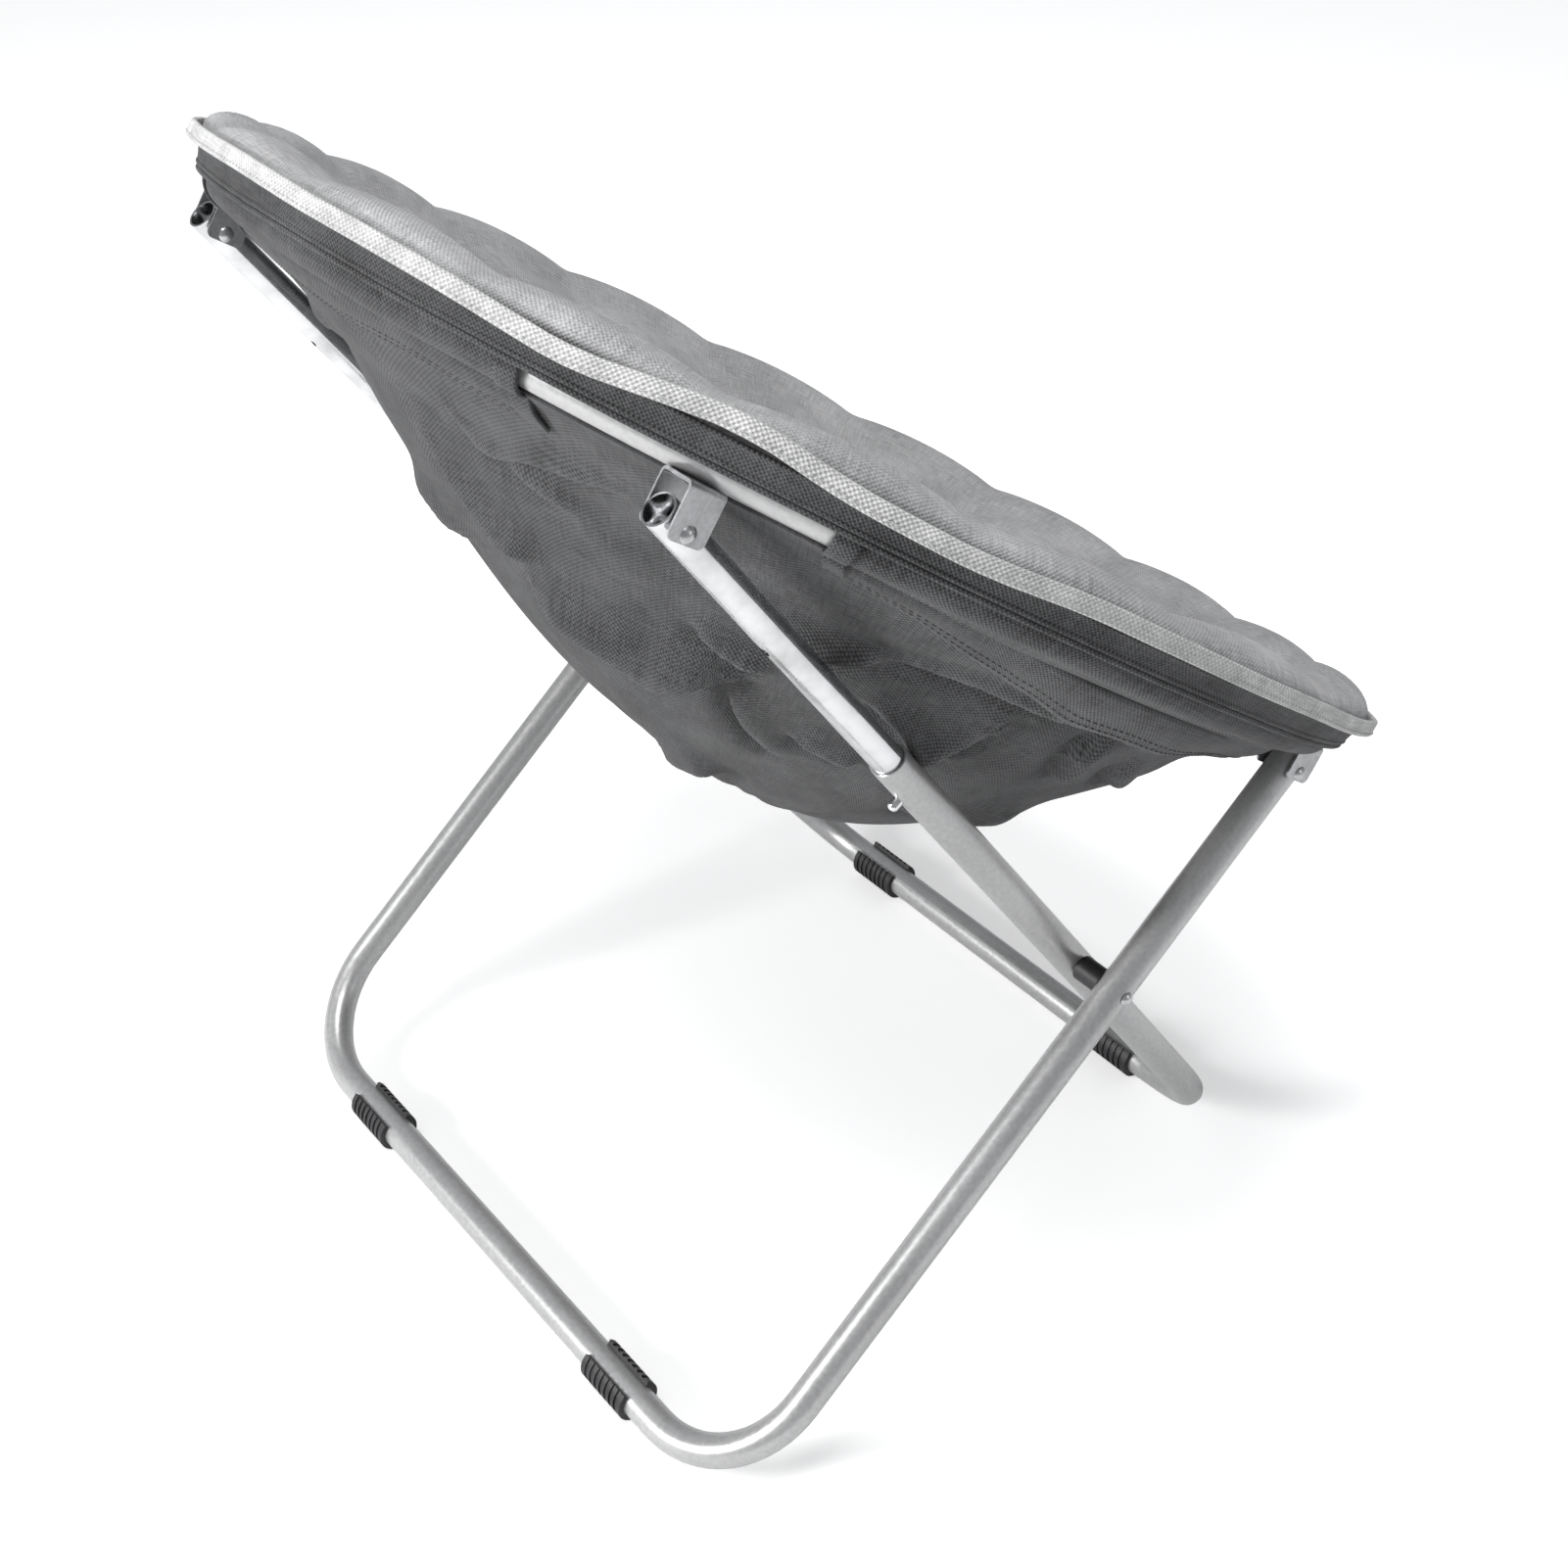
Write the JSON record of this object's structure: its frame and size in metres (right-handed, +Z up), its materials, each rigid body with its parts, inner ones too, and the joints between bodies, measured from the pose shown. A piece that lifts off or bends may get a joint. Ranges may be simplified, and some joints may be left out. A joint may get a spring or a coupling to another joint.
{
  "type": "folding saucer chair",
  "caption": "Folding saucer chair with a round padded fabric bowl on a tilted steel ring and crossed tube legs that fold flat.",
  "frame": {"origin": "on the floor, under the middle of the whole chair", "axes": "X runs across the chair to the sitter's left, Y runs from the open front to the raised back, Z is up"},
  "size_m": [0.779, 0.6218, 0.7809],
  "materials": {
    "silver_paint": "silver-grey powder coat, satin",
    "chrome": "bright plated steel",
    "bracket_steel": "zinc-plated sheet, satin with bright cut edges",
    "spring_steel": "plain spring wire",
    "black_plastic": "black moulded plastic",
    "dark_oxford": "dark grey oxford weave",
    "light_oxford": "mid grey oxford weave over padding",
    "pale_tape": "pale woven herringbone tape"
  },
  "bodies": {
    "seat": {"seat_ring": "silver_paint", "sleeve_front": "dark_oxford", "sleeve_rear": "dark_oxford", "seat_shell": "dark_oxford", "cushion": "light_oxford", "edge_binding": "pale_tape", "cushion_band": "dark_oxford", "band_piping": "dark_oxford", "front_bracket_right": "bracket_steel", "front_bracket_left": "bracket_steel", "rear_bracket_right": "bracket_steel", "rear_bracket_left": "bracket_steel", "front_rivet_right": "chrome", "front_rivet_left": "chrome", "rear_rivet_right": "chrome", "rear_rivet_left": "chrome"},
    "front_frame": {"front_leg_frame": "silver_paint", "crossing_rivet_right": "chrome", "crossing_rivet_left": "chrome", "crossing_spacer_right": "black_plastic", "crossing_spacer_left": "black_plastic", "rear_foot_clip_right": "black_plastic", "rear_foot_clip_left": "black_plastic"},
    "struts": {"strut_right": "chrome", "strut_left": "chrome", "button_spring_right": "spring_steel", "button_spring_left": "spring_steel"},
    "rear_frame": {"rear_leg_frame": "silver_paint", "front_foot_clip_right": "black_plastic", "front_foot_clip_left": "black_plastic"},
    "button_right": {"snap_button_right": "chrome"},
    "button_left": {"snap_button_left": "chrome"}
  },
  "joints": [
    {"name": "fold", "type": "hinge", "parent": "seat", "child": "front_frame", "pos_m": [0, -0.15487, 0.35752], "axis": [1, 0, 0], "range_deg": [0, 74.7], "deforming": ["seat_shell", "cushion"]},
    {"name": "strut_pivot", "type": "hinge", "parent": "seat", "child": "struts", "pos_m": [0, 0.24729, 0.66366], "axis": [-1, 0, 0], "range_deg": [0, 19.96]},
    {"name": "frame_slide", "type": "slide", "parent": "struts", "child": "rear_frame", "axis": [0, 0.5413, 0.8409], "range_m": [0, 0.15675]},
    {"name": "press_button_right", "type": "slide", "parent": "rear_frame", "child": "button_right", "axis": [0, -0.8409, 0.5413], "range_m": [0, 0.0055], "stiffness_N_per_m": 2500, "springref_m": -0.001},
    {"name": "press_button_left", "type": "slide", "parent": "rear_frame", "child": "button_left", "axis": [0, -0.8409, 0.5413], "range_m": [0, 0.0055], "stiffness_N_per_m": 2500, "springref_m": -0.001}
  ],
  "couplings": [
    {"joint": "strut_pivot", "follows": "fold", "ratio": 0.26707},
    {"joint": "frame_slide", "follows": "fold", "m_per_rad": 0.12021}
  ]
}
